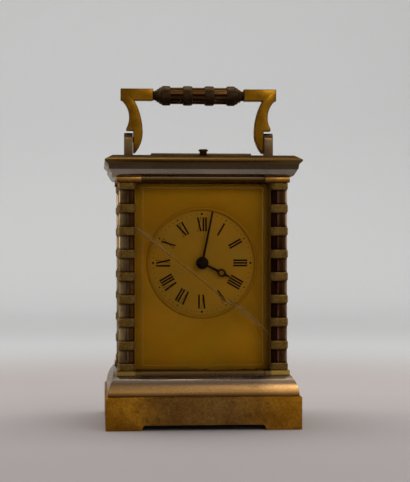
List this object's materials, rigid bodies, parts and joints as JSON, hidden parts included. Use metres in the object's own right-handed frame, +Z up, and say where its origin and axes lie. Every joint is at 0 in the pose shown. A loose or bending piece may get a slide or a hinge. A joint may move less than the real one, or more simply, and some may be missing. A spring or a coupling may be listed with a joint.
{
  "type": "travel clock",
  "caption": "Glazed travelling clock with a folding handle, clustered corner columns, a hinged rear door, turning hands, geared going and striking trains and a repeat button.",
  "frame": {"origin": "middle of the plinth's foot plane, on the surface that the clock stands on", "axes": "+Z up, the dial faces -Y, +X to the right of someone who reads the dial"},
  "size_m": [0.1052, 0.0908, 0.1873],
  "materials": {
    "plinth_gilt": "gilt brass, rubbed and dulled",
    "moulding_silvered": "worn silvery casting",
    "column_brass": "dark polished rods with matt grained bands",
    "capital_gilt": "bright gilt",
    "screw_brass": "turned brass",
    "cornice_silvered": "worn silvery casting with a brown lip",
    "rim_gilt": "gilt brass",
    "glass": "clear bevelled plate glass",
    "door_gilt": "gilt brass",
    "post_silvered": "worn silvery casting",
    "handle_gilt": "gilt brass, rubbed",
    "grip_brass": "reeded grip with grained bands",
    "bright_steel": "polished steel",
    "dial_gilt": "fine matt gilt",
    "mask_gilt": "fine matt gilt",
    "blued_steel": "dark blued steel",
    "wheel_brass": "polished brass",
    "plate_brass": "grained brass plate",
    "gong_steel": "blued spring steel"
  },
  "bodies": {
    "case": {"plinth": "plinth_gilt", "base_casting": "moulding_silvered", "column_front_left": "column_brass", "column_front_right": "column_brass", "column_rear_left": "column_brass", "column_rear_right": "column_brass", "column_capitals": "capital_gilt", "case_screws": "screw_brass", "cornice": "cornice_silvered", "top_rim": "rim_gilt", "top_glass": "glass", "front_glass": "glass", "left_glass": "glass", "right_glass": "glass", "handle_posts": "post_silvered", "handle_pivots": "screw_brass", "dial": "dial_gilt", "dial_mask": "mask_gilt", "front_plate": "plate_brass", "back_plate": "plate_brass", "plate_pillars": "plate_brass", "plate_screws": "blued_steel", "winding_clicks": "blued_steel", "gong": "gong_steel", "gong_post": "bright_steel", "platform": "plate_brass", "platform_bridge": "plate_brass", "balance_cock": "plate_brass", "hairspring": "blued_steel"},
    "handle": {"handle_arm_left": "handle_gilt", "handle_arm_right": "handle_gilt", "handle_grip": "grip_brass"},
    "door": {"door_frame": "door_gilt", "door_glass": "glass", "door_pivots": "screw_brass", "door_knob": "capital_gilt"},
    "button": {"repeat_button": "capital_gilt"},
    "repeat_rocker": {"repeat_lever": "bright_steel"},
    "minute_arbor": {"centre_wheel": "wheel_brass", "cannon_pinion": "wheel_brass", "minute_hand": "blued_steel", "hand_boss": "blued_steel"},
    "minute_wheel": {"minute_wheel": "wheel_brass"},
    "hour_pipe": {"hour_wheel": "wheel_brass", "hour_hand": "blued_steel"},
    "going_barrel": {"going_barrel": "wheel_brass"},
    "going_arbor": {"going_arbor": "bright_steel"},
    "intermediate_wheel": {"intermediate_wheel": "wheel_brass"},
    "third_wheel": {"third_wheel": "wheel_brass"},
    "contrate_wheel": {"contrate_wheel": "wheel_brass"},
    "strike_barrel": {"strike_barrel": "wheel_brass"},
    "strike_arbor": {"strike_arbor": "bright_steel"},
    "strike_wheel": {"strike_wheel": "wheel_brass"},
    "pin_wheel": {"pin_wheel": "wheel_brass"},
    "fly": {"fly": "bright_steel"},
    "hammer": {"hammer": "bright_steel"},
    "escape_wheel": {"escape_wheel": "wheel_brass"},
    "pallet_lever": {"pallet_lever": "bright_steel"},
    "balance": {"balance_wheel": "wheel_brass"}
  },
  "joints": [
    {"name": "handle_fold", "type": "hinge", "parent": "case", "child": "handle", "pos_m": [0, 0, 0.157], "axis": [1, 0, 0], "range_deg": [-95, 95]},
    {"name": "door_swing", "type": "hinge", "parent": "case", "child": "door", "pos_m": [-0.0344, 0.03375, 0.08], "axis": [0, 0, 1], "range_deg": [0, 90]},
    {"name": "repeat_press", "type": "slide", "parent": "case", "child": "button", "axis": [0, 0, -1], "range_m": [0, 0.002], "stiffness_N_per_m": 150, "springref_m": -0.001},
    {"name": "repeat_rock", "type": "hinge", "parent": "case", "child": "repeat_rocker", "pos_m": [0, -0.0275, 0.1382], "axis": [1, 0, 0], "range_deg": [0, 13]},
    {"name": "minute_turn", "type": "hinge", "parent": "case", "child": "minute_arbor", "pos_m": [0, 0, 0.0885], "axis": [0, 1, 0], "continuous": true},
    {"name": "minute_wheel_turn", "type": "hinge", "parent": "case", "child": "minute_wheel", "pos_m": [0.0063, 0, 0.07759], "axis": [0, 1, 0], "continuous": true},
    {"name": "hour_turn", "type": "hinge", "parent": "case", "child": "hour_pipe", "pos_m": [0, 0, 0.0885], "axis": [0, 1, 0], "continuous": true},
    {"name": "intermediate_turn", "type": "hinge", "parent": "case", "child": "intermediate_wheel", "pos_m": [0.01108, 0, 0.07431], "axis": [0, 1, 0], "continuous": true},
    {"name": "going_barrel_turn", "type": "hinge", "parent": "case", "child": "going_barrel", "pos_m": [0.016, 0, 0.057], "axis": [0, 1, 0], "continuous": true},
    {"name": "third_turn", "type": "hinge", "parent": "case", "child": "third_wheel", "pos_m": [0.00909, 0, 0.0998], "axis": [0, 1, 0], "continuous": true},
    {"name": "contrate_turn", "type": "hinge", "parent": "case", "child": "contrate_wheel", "pos_m": [0, 0, 0.106], "axis": [0, 1, 0], "continuous": true},
    {"name": "going_winding", "type": "hinge", "parent": "case", "child": "going_arbor", "pos_m": [0.016, 0, 0.057], "axis": [0, 1, 0], "continuous": true},
    {"name": "pin_wheel_turn", "type": "hinge", "parent": "case", "child": "pin_wheel", "pos_m": [-0.01537, 0, 0.08873], "axis": [0, 1, 0], "continuous": true},
    {"name": "strike_wheel_turn", "type": "hinge", "parent": "case", "child": "strike_wheel", "pos_m": [-0.01913, 0, 0.07473], "axis": [0, 1, 0], "continuous": true},
    {"name": "strike_barrel_turn", "type": "hinge", "parent": "case", "child": "strike_barrel", "pos_m": [-0.016, 0, 0.057], "axis": [0, 1, 0], "continuous": true},
    {"name": "fly_turn", "type": "hinge", "parent": "case", "child": "fly", "pos_m": [-0.01754, 0, 0.10104], "axis": [0, 1, 0], "continuous": true},
    {"name": "strike_winding", "type": "hinge", "parent": "case", "child": "strike_arbor", "pos_m": [-0.016, 0, 0.057], "axis": [0, 1, 0], "continuous": true},
    {"name": "hammer_lift", "type": "hinge", "parent": "case", "child": "hammer", "pos_m": [-0.0254, 0, 0.104], "axis": [0, 1, 0], "range_deg": [0, 12], "stiffness_Nm_per_rad": 0.0005, "springref_deg": -17.19},
    {"name": "escape_turn", "type": "hinge", "parent": "case", "child": "escape_wheel", "pos_m": [0, 0.0083, 0.12], "axis": [0, 0, 1], "continuous": true},
    {"name": "lever_rock", "type": "hinge", "parent": "case", "child": "pallet_lever", "pos_m": [0, 0.0021, 0.12], "axis": [0, 0, 1], "range_deg": [-6, 6]},
    {"name": "balance_swing", "type": "hinge", "parent": "case", "child": "balance", "pos_m": [0, -0.006, 0.12], "axis": [0, 0, 1], "range_deg": [-150, 150], "stiffness_Nm_per_rad": 0.00001}
  ],
  "couplings": [
    {"joint": "repeat_rock", "follows": "repeat_press", "rad_per_m": 111.11},
    {"joint": "minute_wheel_turn", "follows": "minute_turn", "ratio": -0.33333},
    {"joint": "hour_turn", "follows": "minute_turn", "ratio": 0.083333},
    {"joint": "intermediate_turn", "follows": "minute_turn", "ratio": -0.2},
    {"joint": "going_barrel_turn", "follows": "minute_turn", "ratio": 0.04},
    {"joint": "third_turn", "follows": "minute_turn", "ratio": -4.8},
    {"joint": "contrate_turn", "follows": "minute_turn", "ratio": 21.6},
    {"joint": "strike_wheel_turn", "follows": "pin_wheel_turn", "ratio": -0.20833},
    {"joint": "strike_barrel_turn", "follows": "pin_wheel_turn", "ratio": 0.041667},
    {"joint": "fly_turn", "follows": "pin_wheel_turn", "ratio": -5.25}
  ]
}
